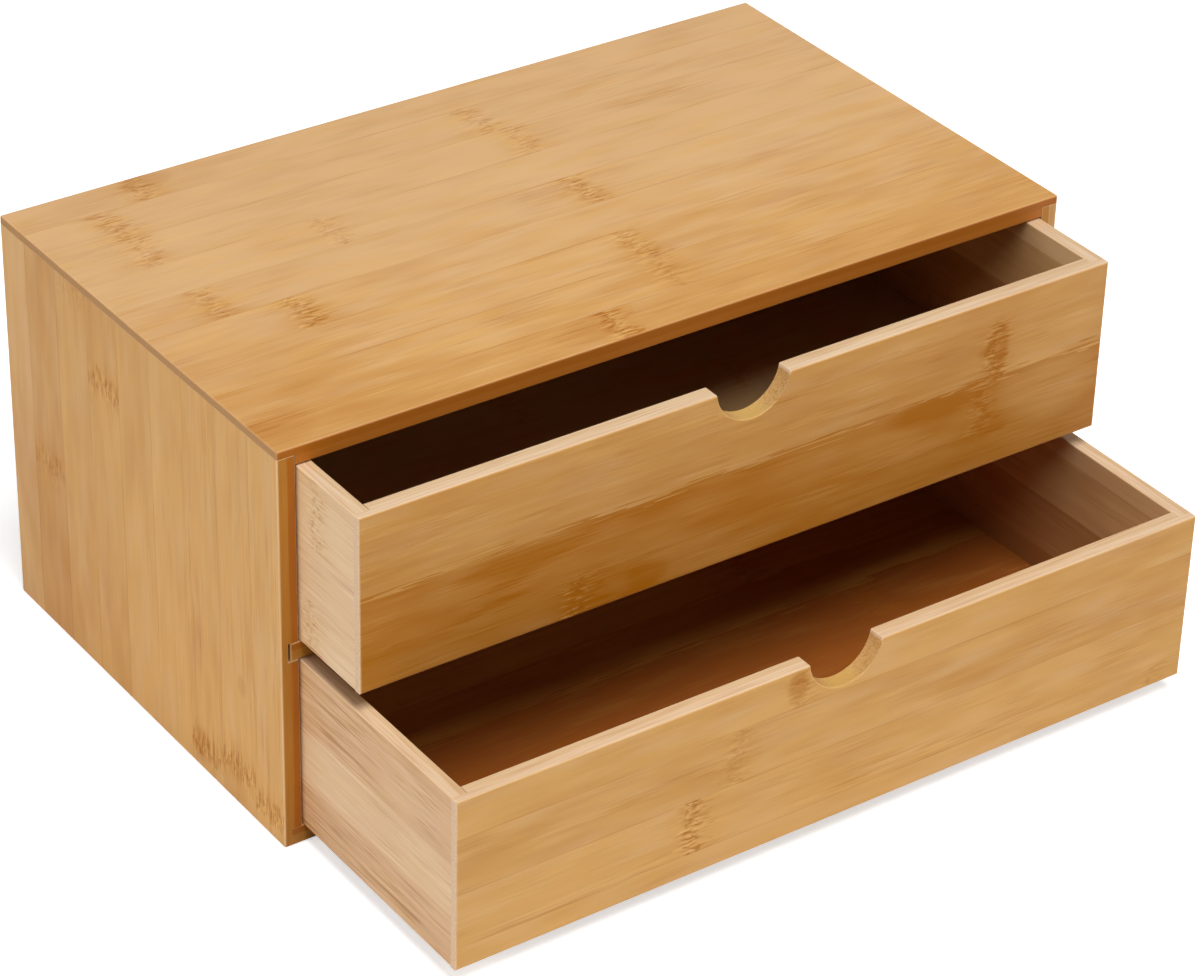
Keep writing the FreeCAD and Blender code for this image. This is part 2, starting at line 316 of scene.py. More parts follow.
# One board. wood is a row of WOODS. edge has the two layers that show on the long edges and the height of
# the border between them, and sawn is the colour of the ends. along and across are the side and axis from
# which places are measured. first is what is left of the strip at that side, in millimetres. seed moves
# all noises, and the share after it is how pale the rounded corners turn, partly rubbed pale with use and
# partly as a painted highlight. A notched board has a finger notch. On a board whose inside is shaded,
# the strips' tones are painted shade on its inner face, and its outside is even. ragged is how far the
# borders of the strips' tones wander, in millimetres.
Board = namedtuple(
    "Board",
    "wood edge sawn along across first strips seed wear marks notched lined ragged",
    defaults=((), False, False, 0.0),
)

# Each wood's dark, middle, pink and pale colour
WOODS = {
    "honey": ("toasted", "honey", "blush", "blonde"),
    "pale": ("umber", "pale", "pale_blush", "bleached"),
    "wall": ("umber", "blush", "blush", "bleached"),
    # The lower tray's middle colour is painted shade and its pale colour is painted light
    "tray": ("toasted", "tray", "tray", "tray_painted_light"),
    "shade": ("toasted", "tray_shade", "tray_shade", "amber"),
}

# How two rows of numbers are scattered: turn by place, turn by seed, and stretch
LIGHT_SCATTER = (12.9898, 78.233, 43758.5453)
KNUCKLE_SCATTER = (39.346, 11.135, 24634.6345)

# Plain strips: blush, least and added fibres, first place and reach of the knuckles, and their strength
PLAIN_BLUSH = 0.4
PLAIN_FIBRES = (0.14, 0.12)
PLAIN_PLACES = (20, 270)
PLAIN_STRENGTH = 0.6


def strip(light, blush, fibres, *knuckles):
    """One strip of a board, with its knuckles last."""
    return Strip(light, blush, fibres, knuckles)


def scattered(place, seed, by_place, by_seed, stretch):
    """A number from 0 to 1 that looks random and is the same on every run."""
    return (math.sin(by_place * (place + 1) + by_seed * seed) * stretch) % 1.0


def plain_strips(count, seed, spread=0.07):
    """Strips for a board whose faces are hidden or unknown, with one scattered knuckle each."""
    made = []
    for place in range(count):
        light = 0.5 + spread * (2 * scattered(place, seed, *LIGHT_SCATTER) - 1)
        turn = scattered(place, seed, *KNUCKLE_SCATTER)
        fibres = PLAIN_FIBRES[0] + PLAIN_FIBRES[1] * turn
        knuckle = (PLAIN_PLACES[0] + PLAIN_PLACES[1] * turn, PLAIN_STRENGTH)
        made.append(strip(light, PLAIN_BLUSH, fibres, knuckle))
    return tuple(made)


TOP_STRIPS = (
    strip(0.48, 1.00, 0.12, (50.7, 0.55)),
    strip(0.49, 1.00, 0.16, (29.0, 0.60), (183.0, 0.5)),
    strip(0.50, 0.95, 0.18, (30.0, 0.50), (189.0, 0.4)),
    strip(0.52, 0.90, 0.18, (93.0, 0.40)),
    strip(0.49, 0.80, 0.14, (31.0, 0.50), (187.0, 0.7)),
    strip(0.48, 0.65, 0.15, (56.0, 0.75)),
    strip(0.46, 0.45, 0.19, (179.0, 0.60)),
    strip(0.43, 0.25, 0.21, (177.0, 0.40)),
    strip(0.37, 0.00, 0.24, (141.0, 0.85)),
)
TOP_MARKS = (
    Mark(245, 30, 26, 6, 0.9, 0.10),
    Mark(247, 48, 38, 6, 0.9, 0.10),
    Mark(172, 92, 17, 6, 0.6, 0.26),
    Mark(57, 5, 12, 6, 0.2, 0.35),
    Mark(127, 181, 14, 7, 0.6, 0.25),
    Mark(8, 176, 16, 12, 0.5, 0.30),
    Mark(120, 158, 18, 8, 0.8, 0.05),
    Mark(15, 135, 70, 60, 0.0, 0.14),
)

SIDE_STRIPS = (
    strip(0.49, 0.60, 0.10),
    strip(0.37, 0.35, 0.08, (71.0, 0.4)),
    strip(0.44, 0.20, 0.08, (153.0, 0.2)),
    strip(0.44, 0.10, 0.10, (125.5, 0.7)),
    strip(0.49, 0.05, 0.12),
    strip(0.52, 0.05, 0.18),
    strip(0.48, 0.00, 0.28, (10.0, 0.7)),
    strip(0.48, 0.05, 0.34, (15.0, 0.8)),
    strip(0.51, 0.20, 0.34, (9.0, 0.8)),
)
SIDE_MARKS = (
    Mark(10, 134, 8, 6, 0.2, 0.45),
    Mark(52, 164, 5, 3, 0.1, 0.30),
    Mark(60, 134, 24, 4, 0.6, 0.20),
    Mark(15, 20, 75, 36, 0.0, 0.28),
    Mark(45, 66, 40, 20, 0.0, 0.12),
)

UPPER_FRONT_STRIPS = (
    strip(0.36, 0.10, 0.18),
    strip(0.35, 0.10, 0.24, (265.0, 0.8)),
    strip(0.11, 0.00, 0.17, (260.0, 0.4)),
    strip(0.12, 0.00, 0.16, (87.5, 0.8)),
)
UPPER_FRONT_MARKS = (
    Mark(68, 38, 32, 6, 0.6, 0.35),
    Mark(238, 37, 24, 6, 0.6, 0.35),
    Mark(292, 44, 26, 14, 0.0, -0.45),
    Mark(266, 20, 5, 12, 0.0, 0.45),
    Mark(225, 14, 60, 26, 0.0, 0.14),
    Mark(115, 62, 10, 6, 0.3, 0.25),
)

LOWER_FRONT_STRIPS = (
    strip(0.49, 0.10, 0.10, (139.0, 0.35)),
    strip(0.45, 0.20, 0.13, (113.5, 0.3)),
    strip(0.52, 0.10, 0.19, (96.0, 1.0)),
    strip(0.53, 0.15, 0.12, (302.0, 0.3)),
)
LOWER_FRONT_MARKS = (
    Mark(60, 58, 60, 4, 0.9, 0.05),
    Mark(190, 56, 60, 4, 0.9, 0.05),
    Mark(80, 27, 60, 4, 0.7, 0.10),
    Mark(305, 37, 14, 12, 0.0, 0.15),
    Mark(137.5, 7, 5, 8, 0.2, 0.60),
    Mark(280, 36, 130, 60, 0.0, 0.12),
    Mark(250, 30, 60, 8, 0.4, 0.10),
)

UPPER_WALL_STRIPS = (
    strip(0.74, 0.3, 0.5, (154.0, 0.5)),
    strip(0.84, 0.3, 0.6, (154.0, 0.8)),
    strip(0.74, 0.7, 0.8),
    strip(0.80, 0.7, 0.8, (150.0, 0.7)),
)
LOWER_WALL_STRIPS = (
    strip(0.50, 0.5, 0.8),
    strip(0.52, 0.6, 0.9),
    strip(0.70, 0.6, 0.9),
    strip(0.49, 0.6, 0.9),
)
LOWER_WALL_MARKS = (
    Mark(60, 6, 75, 26, 0.2, 0.30),
    Mark(70, 66, 70, 16, 0.2, 0.35),
)
# Tones of the drawers' right sides. On their inner faces they are painted shade: light along the top edge
# and darker towards the bottom.
RIGHT_WALL_SHADED_STRIPS = (
    strip(0.62, 0.5, 0.22),
    strip(0.36, 0.5, 0.24),
    strip(0.08, 0.5, 0.18),
    strip(0.02, 0.5, 0.14),
)
# Strips of the lower drawer's bottom, counted from the back: the back ones turn pale as painted light on the
# part in the upper drawer's shadow, and the front ones keep the tray's painted shade
LOWER_TRAY_STRIPS = (
    strip(0.98, 0.4, 0.20, (70.0, 0.5)),
    strip(0.96, 0.4, 0.22),
    strip(0.90, 0.4, 0.18, (212.0, 0.4)),
    strip(0.72, 0.4, 0.20, (40.0, 0.4)),
    strip(0.51, 0.4, 0.16, (240.0, 0.5)),
    strip(0.49, 0.4, 0.24),
    strip(0.52, 0.4, 0.18, (120.0, 0.6)),
    strip(0.50, 0.4, 0.20),
    strip(0.48, 0.4, 0.22, (275.0, 0.6)),
)

TOP_EDGE = ("cinnamon", "russet", 3.5)
LEFT_EDGE = ("amber", "russet", 4.0)
RIGHT_EDGE = ("amber", "straw", 3.0)
DRAWER_EDGE = ("cream", "biscuit", 3.5)


def carcass_board(edge, along, across, first, strips, seed, wear, **others):
    """A golden board with dark edges."""
    return Board("honey", edge, "end_grain", along, across, first, strips, seed, wear, **others)


def drawer_board(wood, along, across, first, strips, seed, wear, **others):
    """A board with pale edges and ends."""
    return Board(wood, DRAWER_EDGE, "lip", along, across, first, strips, seed, wear, **others)


BOARDS = {
    "top_panel": carcass_board(TOP_EDGE, "+x", "-y", 18.0, TOP_STRIPS, 1, 0.15, marks=TOP_MARKS),
    "left_side_panel": carcass_board(
        LEFT_EDGE, "+z", "-y", 18.0, SIDE_STRIPS, 2, 0.5, marks=SIDE_MARKS
    ),
    "right_side_panel": carcass_board(RIGHT_EDGE, "+z", "-y", 14.0, plain_strips(9, 3), 3, 0.3),
    "middle_shelf": carcass_board(LEFT_EDGE, "+x", "-y", 12.0, plain_strips(9, 4), 4, 0.4),
    "bottom_panel": carcass_board(LEFT_EDGE, "+x", "-y", 9.0, plain_strips(9, 5), 5, 0.2),
    "back_panel": carcass_board(LEFT_EDGE, "+x", "-z", 16.0, plain_strips(8, 6), 6, 0.2),
    "upper_drawer_front": drawer_board(
        "honey", "+x", "-z", 10.0, UPPER_FRONT_STRIPS, 7, 0.3,
        marks=UPPER_FRONT_MARKS, notched=True, ragged=11.0,
    ),
    "lower_drawer_front": drawer_board(
        "honey", "+x", "-z", 15.6, LOWER_FRONT_STRIPS, 8, 0.3,
        marks=LOWER_FRONT_MARKS, notched=True,
    ),
    "upper_drawer_left_side": drawer_board("pale", "-y", "-z", 5.0, UPPER_WALL_STRIPS, 9, 0.4),
    "upper_drawer_right_side": drawer_board(
        "wall", "-y", "-z", 8.0, RIGHT_WALL_SHADED_STRIPS, 10, 0.4, lined=True
    ),
    "upper_drawer_back": drawer_board("pale", "+x", "-z", 7.0, LOWER_WALL_STRIPS, 11, 0.4),
    "upper_drawer_bottom": drawer_board("shade", "+x", "-y", 11.0, plain_strips(9, 12, 0.05), 12, 0.4),
    "lower_drawer_left_side": drawer_board(
        "pale", "-y", "-z", 5.0, LOWER_WALL_STRIPS, 13, 0.4, marks=LOWER_WALL_MARKS
    ),
    "lower_drawer_right_side": drawer_board(
        "wall", "-y", "-z", 8.0, RIGHT_WALL_SHADED_STRIPS, 14, 0.4, lined=True
    ),
    "lower_drawer_back": drawer_board("pale", "+x", "-z", 7.0, LOWER_WALL_STRIPS, 15, 0.4),
    "lower_drawer_bottom": drawer_board(
        "tray", "+x", "-y", 11.0, LOWER_TRAY_STRIPS, 16, 0.4, ragged=11.0
    ),
}


# Places in a board


# From where to where a surface counts as square to an axis, and a rounded corner as paled, partly rubbed
# pale with use and partly as a painted highlight
SQUARE = (0.6, 0.75)
CORNER = (0.90, 0.985)


class Grain:
    """Where a point lies in a board and which way it faces, as values in the board's material."""

    def __init__(self, bench, node, board):
        self.low, self.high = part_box(node)
        self.place = bench.parts(bench.add("ShaderNodeTexCoord", output="Object"))
        x, y, z = facing = bench.parts(bench.add("ShaderNodeNewGeometry", output="Normal"))
        long_axis, cross_axis = (AXES.index(way[1]) for way in (board.along, board.across))
        thin_axis = 3 - long_axis - cross_axis
        self.along = self.from_side(board.along)
        self.across = self.from_side(board.across)
        self.through = self.from_side("+" + AXES[thin_axis])
        self.reach = (self.high - self.low)[long_axis] / MM
        self.facing_along = facing[long_axis]
        self.facing_through = facing[thin_axis]
        self.on_end = abs(self.facing_along).rise(*SQUARE)
        self.on_face = abs(self.facing_through).rise(*SQUARE)
        self.on_corner = abs(x).most(abs(y)).most(abs(z)).fall(*CORNER)

    def from_side(self, way):
        """Distance in from the low (+) or high (-) side of the board along an axis, in millimetres."""
        axis = AXES.index(way[1])
        if way[0] == "+":
            return (self.place[axis] - self.low[axis]) * (1 / MM)
        return (self.high[axis] - self.place[axis]) * (1 / MM)


# The figure of the bamboo


# How far the noises jump from board to board and from strip to strip, so that none of them repeats
BOARD_STEP = 37.0
STRIP_STEP = 17.3
PATCH_STEP = 2.9
SWAY_STEP = 3.7
ROW_STEP = 5.3

# Grains of each noise per millimetre along the grain, across the strips and through the board
FINE_GRAINS = 0.05
BROAD_GRAINS = (0.016, 0.50, 0.45)
PATCH_GRAINS = (0.028, 0.14)
SWAY_GRAINS = (0.016, 0.03)
BORDER_GRAINS = (0.04, 0.9)
BEND_GRAINS = 0.22
ROW_GRAINS = (0.14, 0.85)
SPOT_GRAINS = (0.42, 0.75)
LAYER_GRAINS = (0.012, 0.55)
PORE_GRAINS = 1.4

# Detail and roughness of the two finer noises
BROAD_DETAIL = (3.0, 0.65)
LAYER_DETAIL = (2.0, 0.7)

# How even the outside is of a board whose inside carries painted shade, how light it is, and how much more
# streaky
OUTER_EVENNESS = 0.8
OUTER_LIGHT = 0.48
OUTER_FIBRES = 2

# From where to where a mark fades, as the square of its own reach
MARK_FADE = (0.1, 1.3)

# How far a knuckle bends and its rows wander, in millimetres, and where its spots begin
BEND_REACH = 9
ROW_REACH = 10
SPOTS = (0.50, 0.62)

# From where to where a knuckle's rows, spots and halo fade, in halves of its length
NEAR_FADE = (0.5, 1.7)
CORE_FADE = (0.3, 0.9)
HALO_FADE = (0.6, 3.0)


class Figure:
    """The strips, fibres, patches and knuckles of a board, as values in its material."""

    def __init__(self, bench, board, grain, sizes):
        self.bench = bench
        self.board = board
        self.grain = grain
        self.seed = BOARD_STEP * board.seed
        self.lay_strips(sizes.strip / MM)
        self.spread_marks()
        self.grow_fibres(MM / sizes.fibre)
        self.grow_knuckles(0.5 * sizes.knuckle / MM)

    def lay_strips(self, width):
        """Counts the strips across the board, and says what each is like."""
        counted = (self.grain.across - self.board.first) * (1 / width) + 1
        self.index = math.floor(counted)
        within = (counted - self.index) * width
        self.to_joint = within.least(width - within)
        if self.board.ragged:
            by_length, by_width = BORDER_GRAINS
            drift = self.bench.flat_noise(
                self.grain.along * by_length + self.seed, self.grain.across * by_width
            )
            self.index = math.floor(counted + (drift - 0.5) * (self.board.ragged / width))
        stops = [(one.light, one.blush, one.fibres, 1.0) for one in self.board.strips]
        self.light, self.blush, self.streaky, _ = self.by_strip(stops)
        # Inside, the strips' tones are painted shade; the outside stays even.
        if self.board.lined:
            outside = self.grain.facing_through > 0.0
            self.light = self.light * (1 - outside * OUTER_EVENNESS) + outside * OUTER_LIGHT
            self.streaky = self.streaky * (1 + outside * OUTER_FIBRES)

    def by_strip(self, stops):
        """Four numbers that step from strip to strip."""
        count = (self.index + 0.5) * (1 / len(stops))
        ramp = self.bench.add("ShaderNodeValToRGB", {"stops": stops}, {"Fac": count})
        split = self.bench.add("ShaderNodeSeparateColor", {}, {"Color": ramp})
        outputs = list(split.socket.node.outputs) + [ramp.socket.node.outputs["Alpha"]]
        return [Value(self.bench, out) for out in outputs]

    def spread_marks(self):
        """Extra fibres and stain at the places that stand out on the real board."""
        self.more_fibres, self.stain = 0.0, 0.0
        for mark in self.board.marks:
            reach = (self.grain.along - mark.along) * (1 / mark.half_length)
            drift = (self.grain.across - mark.across) * (1 / mark.half_width)
            inside = (reach * reach + drift * drift).fall(*MARK_FADE)
            self.more_fibres = inside * mark.fibres + self.more_fibres
            self.stain = inside * mark.stain + self.stain

    def grow_fibres(self, fine_grains):
        """The fine and broad fibres, the patches in which they gather, and the sway from light to dark."""
        bench, index = self.bench, self.index
        along, across, through = self.grain.along, self.grain.across, self.grain.through
        shift = index * STRIP_STEP + self.seed
        self.fine = bench.noise(
            bench.vector(along * FINE_GRAINS + shift, across * fine_grains, through * fine_grains)
        )
        by_length, by_width, by_depth = BROAD_GRAINS
        self.broad = bench.noise(
            bench.vector(along * by_length + shift, across * by_width, through * by_depth), *BROAD_DETAIL
        )
        by_length, by_width = PATCH_GRAINS
        self.burst, self.hue, self.tone = bench.three_flat_noises(
            along * by_length + shift, across * by_width + index * PATCH_STEP
        )
        by_length, by_width = SWAY_GRAINS
        self.sway = bench.flat_noise(
            along * by_length + self.seed, index * SWAY_STEP + across * by_width
        )

    def nearer_knuckle(self):
        """Distance along the grain from the strip's nearer knuckle, and that knuckle's strength."""
        reach = self.grain.reach
        stops = []
        for one in self.board.strips:
            first, second = (one.knuckles + ((0.0, 0.0), (0.0, 0.0)))[:2]
            stops.append((first[0] / reach, first[1], second[0] / reach, second[1]))
        place, strength, second_place, second_strength = self.by_strip(stops)
        offset = self.grain.along - place * reach
        second_offset = self.grain.along - second_place * reach
        nearer = abs(second_offset) < abs(offset)
        return offset + (second_offset - offset) * nearer, strength + (second_strength - strength) * nearer

    def grow_knuckles(self, half):
        """The ragged rows of short fibres at a knuckle, the dark spots down its middle, and its halo."""
        bench, across = self.bench, self.grain.across
        offset, strength = self.nearer_knuckle()
        bend = bench.flat_noise(across * BEND_GRAINS + self.seed, self.index * SWAY_STEP)
        wavy = offset + (bend - 0.5) * BEND_REACH
        by_length, by_width = ROW_GRAINS
        self.rows = bench.flat_noise(
            wavy * by_length + self.seed, across * by_width + self.index * ROW_STEP
        )
        by_length, by_width = SPOT_GRAINS
        spots = bench.flat_noise(wavy * by_length, across * by_width + self.seed).rise(*SPOTS)
        ragged = wavy + (self.rows - 0.5) * ROW_REACH
        self.near = abs(ragged).fall(*(half * reach for reach in NEAR_FADE)) * strength
        self.core = abs(wavy).fall(*(half * reach for reach in CORE_FADE)) * spots * strength
        self.halo = abs(offset).fall(*(half * reach for reach in HALO_FADE)) * strength


# The finish of a board


# The level of a face is 0 in the wood's dark colour, 0.5 in its middle one and 1 in its pale one. These
# say how far each thing in the figure moves it.
SWAY_LEVEL = 0.22
TONE_LEVEL = 0.22
BROAD_LEVEL = 0.42
FINE_LEVEL = 0.38
DARK_FIBRE_LEVEL = 0.16
ROW_LEVEL = 1.4
HALO_LEVEL = 0.05
NEAR_LEVEL = 0.03
JOINT_LEVEL = 0.17
CORE_LEVEL = 0.16

# A stain's level, evenly and where the broad fibres are
STAIN_LEVEL = (0.2, 0.4)

# How strong the fibres are: by the strip's streakiness, everywhere, near a knuckle, and outside a patch
STREAKY_FIBRES = 2.5
LEAST_FIBRES = 0.1
HALO_FIBRES = 0.4
PATCH_FIBRES = 0.5

# Where a patch of fibres, a dark fibre and the line of a joint begin in their noises
PATCHES = (0.42, 0.62)
DARK_FIBRES = (0.58, 0.70)
OPEN_JOINTS = (0.42, 0.60)

# From where to where the line of a joint fades, in its own width, and what is left of it on a ragged board
JOINT_FADE = (0.3, 0.9)
RAGGED_JOINT = 0.3

# How far a face's pinkness drifts, how much a knuckle takes from it, and the share of scar in a spot
HUE_DRIFT = 1.4
HALO_HUE = 0.6
SCAR_SHARE = 0.25

# How far the border between an edge's layers wanders and how soft it is, in millimetres, and how much
# darker its fibres are, by their noise and everywhere
LAYER_REACH = 3
LAYER_BLUR = 0.5
EDGE_FIBRES = 0.8
EDGE_DARKNESS = 0.1

# The pore noise above which a sawn end darkens, and how much it darkens
END_PORES = 0.42
END_DARKNESS = 0.9

# Where the colour of a finger notch ends along the front, from its middle, and where it begins below the
# top edge, in millimetres
NOTCH_HALF = (17.0, 18.0)
NOTCH_DEPTH = (0.9, 1.8)

# Which walls of a notch are steep, by how far they face along the front
NOTCH_STEEP = (0.25, 0.65)

# The pore noise above which a notch darkens, and how much it does, evenly and more on steep walls
NOTCH_PORES = 0.45
NOTCH_DARKNESS = (0.8, 1.8)

# The share of a rounded corner's paling, rubbed and painted highlight alike, that a notch is spared
NOTCH_CORNER_SPARING = 0.85

# Paling of a rounded corner apart from its broad fibres, partly rubbed pale with use and partly a painted
# highlight
EVEN_WEAR_AND_HIGHLIGHT = 0.5

# Height of the fine fibres and a knuckle's rows, and strength of the relief
FIBRE_HEIGHT = 0.35
ROW_HEIGHT = 2
RELIEF_STRENGTH = 0.6

# Roughness that the broad fibres and a knuckle add
BROAD_ROUGHNESS = 0.15
NEAR_ROUGHNESS = 0.10


def face_level(board, figure, joint_width):
    """How light a broad face is."""
    lines = (figure.broad - 0.5) * BROAD_LEVEL + (figure.fine - 0.5) * FINE_LEVEL
    fibres = figure.streaky * STREAKY_FIBRES + LEAST_FIBRES + figure.halo * HALO_FIBRES
    fibres = fibres * (figure.burst.rise(*PATCHES) + PATCH_FIBRES) + figure.more_fibres
    joint = figure.to_joint.fall(*(joint_width * reach for reach in JOINT_FADE))
    joint = joint * figure.sway.rise(*OPEN_JOINTS)
    if board.ragged:
        joint = joint * RAGGED_JOINT
    even_stain, broad_stain = STAIN_LEVEL
    level = figure.light + (figure.sway - 0.5) * SWAY_LEVEL + (figure.tone - 0.5) * TONE_LEVEL
    level = level + lines * fibres - figure.stain * (even_stain + broad_stain * figure.broad)
    level = level - figure.fine.rise(*DARK_FIBRES) * figure.streaky * DARK_FIBRE_LEVEL
    level = level + (figure.rows - 0.5) * figure.near * ROW_LEVEL - figure.halo * HALO_LEVEL
    return level - figure.near * NEAR_LEVEL - joint * JOINT_LEVEL - figure.core * CORE_LEVEL


def face_colour(bench, board, figure, level, colours):
    """The colour of a board's broad faces."""
    dark, middle, pink, pale = (colours.tint(name) for name in WOODS[board.wood])
    pinkness = figure.blush + (figure.hue - 0.5) * HUE_DRIFT - figure.halo * HALO_HUE
    face = bench.mix(pinkness, middle, pink)
    face = bench.mix(1 - level * 2, face, dark)
    face = bench.mix(level * 2 - 1, face, pale)
    return bench.mix(figure.core * SCAR_SHARE, face, colours.tint("scar"))


def edge_colour(bench, board, grain, figure, colours):
    """The colour of a board's long edges, on which two layers show."""
    by_length, by_depth = LAYER_GRAINS
    layers = bench.noise(
        bench.vector(grain.along * by_length, figure.seed, grain.through * by_depth), *LAYER_DETAIL
    )
    low_layer, high_layer, border = board.edge
    place = grain.through + (layers - 0.5) * LAYER_REACH
    above = place.rise(border - LAYER_BLUR, border + LAYER_BLUR)
    edge = bench.mix(above, colours.tint(low_layer), colours.tint(high_layer))
    darkness = (figure.fine + layers - 1) * EDGE_FIBRES + EDGE_DARKNESS
    return bench.mix(darkness, edge, colours.tint("toasted"))


def notch_colour(bench, grain, pores, colours):
    """The colour of a finger notch."""
    steep = abs(grain.facing_along).rise(*NOTCH_STEEP)
    cut = bench.mix(steep, colours.tint("cut"), colours.tint("rough_cut"))
    even_darkness, steep_darkness = NOTCH_DARKNESS
    darkness = (pores - NOTCH_PORES) * (even_darkness + steep * steep_darkness)
    return bench.mix(darkness, cut, colours.tint("toasted"))


def skin_colour(bench, board, grain, figure, settings):
    """The colour of a whole board: its faces, long edges, sawn ends, notch and rounded corners, which are
    paled partly by rubbing with use and partly as a painted highlight.
    """
    colours = settings.colours
    level = face_level(board, figure, settings.grain.joint / MM)
    face = face_colour(bench, board, figure, level, colours)
    edge = edge_colour(bench, board, grain, figure, colours)
    pores = bench.noise(
        bench.vector(
            grain.across * PORE_GRAINS, grain.through * PORE_GRAINS, grain.along * PORE_GRAINS + figure.seed
        )
    )
    end = bench.mix(
        (pores - END_PORES) * END_DARKNESS, colours.tint(board.sawn), colours.tint("toasted")
    )
    worn_and_highlit = grain.on_corner
    if board.notched:
        notch = abs(grain.along - grain.reach / 2).fall(*NOTCH_HALF) * grain.across.rise(*NOTCH_DEPTH)
        cut = notch_colour(bench, grain, pores, colours)
        edge = bench.mix(notch, edge, cut)
        end = bench.mix(notch, end, cut)
        worn_and_highlit = worn_and_highlit * (1 - notch * NOTCH_CORNER_SPARING)
    skin = bench.mix(grain.on_face, edge, face)
    skin = bench.mix(grain.on_end, skin, end)
    # Rounded corners turn towards bleached: partly rubbed pale with use, partly a painted highlight along
    # the edges
    return bench.mix(worn_and_highlit * (board.wear * (EVEN_WEAR_AND_HIGHLIGHT + figure.broad)), skin, colours.tint("bleached"))


def bamboo(name, node, board, settings):
    """The finish of one board."""
    sizes = settings.grain
    material = bpy.data.materials.new(name)
    material.use_nodes = True
    bench = Bench(material.node_tree)
    grain = Grain(bench, node, board)
    figure = Figure(bench, board, grain, sizes)
    height = figure.fine * FIBRE_HEIGHT + figure.near * (figure.rows - 0.5) * ROW_HEIGHT
    relief = bench.add(
        "ShaderNodeBump", {}, {"Strength": RELIEF_STRENGTH, "Distance": sizes.relief, "Height": height}
    )
    roughness = sizes.roughness + (figure.broad - 0.5) * BROAD_ROUGHNESS + figure.near * NEAR_ROUGHNESS
    shader = bench.add(
        "ShaderNodeBsdfPrincipled",
        {},
        {
            "Base Color": skin_colour(bench, board, grain, figure, settings),
            "Roughness": roughness,
            "Normal": relief,
            "Specular IOR Level": sizes.sheen,
        },
    )
    bench.add("ShaderNodeOutputMaterial", {}, {"Surface": shader})
    return material


def finish_boards(context, names):
    """Gives each named board its own bamboo."""
    settings = context.scene.organizer
    for name in names:
        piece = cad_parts[name]
        material = bamboo(name + "_bamboo", name, BOARDS[name], settings)
        piece.data.materials.clear()
        piece.data.materials.append(material)


# Stage


# How far the floor lies below the object, in metres
FLOOR_DROP = 0.0002

# Detail of the floor's grit, how strong it is, how much of it lies everywhere, and its colour
GRIT_DETAIL = 2.0
GRIT_STRENGTH = 0.02
GRIT_SHARE = 0.01
GRIT_COLOUR = (0.7, 0.7, 0.7)

# From where to where the floor turns fully white, as the square of the distance in metres
WHITE_FLOOR = (0.5, 9.0)

# Where each softbox stands about the object, in degrees and metres, and how large it is
Softbox = namedtuple("Softbox", "azimuth elevation distance size")
SOFTBOXES = {
    "key": Softbox(-10, 66, 2.5, 1.4),
    "side": Softbox(-95, 12, 2.2, 0.7),
    "fill": Softbox(50, 12, 2.4, 1.0),
}

# Width of the camera's sensor, in millimetres
SENSOR_WIDTH = 36.0


def build_floor(context, studio):
    """A plain floor that keeps the object's shadow and shows as white."""
    half = studio.floor / 2
    corners = [(-half, -half), (half, -half), (half, half), (-half, half)]
    mesh = bpy.data.meshes.new("floor")
    mesh.from_pydata([(x, y, -FLOOR_DROP) for x, y in corners], [], [(0, 1, 2, 3)])
    floor = bpy.data.objects.new("floor", mesh)
    context.scene.collection.objects.link(floor)
    material = bpy.data.materials.new("floor_paper")
    material.use_nodes = True
    bench = Bench(material.node_tree)
    place = bench.add("ShaderNodeTexCoord", output="Object")
    grit = (bench.noise(place, GRIT_DETAIL) - 0.5) * GRIT_STRENGTH + GRIT_SHARE
    shade = bench.mix(grit, tuple(studio.floor_colour), GRIT_COLOUR)
    paper = bench.add("ShaderNodeBsdfDiffuse", {}, {"Color": shade})
    seen = bench.add("ShaderNodeLightPath", output="Is Camera Ray")
    x, y, _ = bench.parts(place)
    lift = (x * x + y * y).rise(*WHITE_FLOOR) * (1 - studio.lift) + studio.lift
    glow = bench.add("ShaderNodeEmission", {}, {"Color": (1, 1, 1, 1), "Strength": seen * lift})
    both = bench.add("ShaderNodeAddShader", {}, {0: paper, 1: glow})
    bench.add("ShaderNodeOutputMaterial", {}, {"Surface": both})
    mesh.materials.append(material)


def light_world(context, studio):
    """An even light from all around, seen as a white backdrop."""
    world = bpy.data.worlds.new("studio_world")
    world.use_nodes = True
    context.scene.world = world
    bench = Bench(world.node_tree)
    camera_ray = bench.add("ShaderNodeLightPath", output="Is Camera Ray")
    glossy_ray = bench.add("ShaderNodeLightPath", output="Is Glossy Ray")
    through_ray = bench.add("ShaderNodeLightPath", output="Is Transmission Ray")
    seen = camera_ray.most(glossy_ray).most(through_ray)
    around = bench.add("ShaderNodeBackground", {}, {"Color": (1, 1, 1, 1), "Strength": studio.ambient})
    behind = bench.add("ShaderNodeBackground", {}, {"Color": (*studio.backdrop, 1), "Strength": 1.0})
    mixed = bench.add("ShaderNodeMixShader", {}, {0: seen, 1: around, 2: behind})
    bench.add("ShaderNodeOutputWorld", {}, {"Surface": mixed})


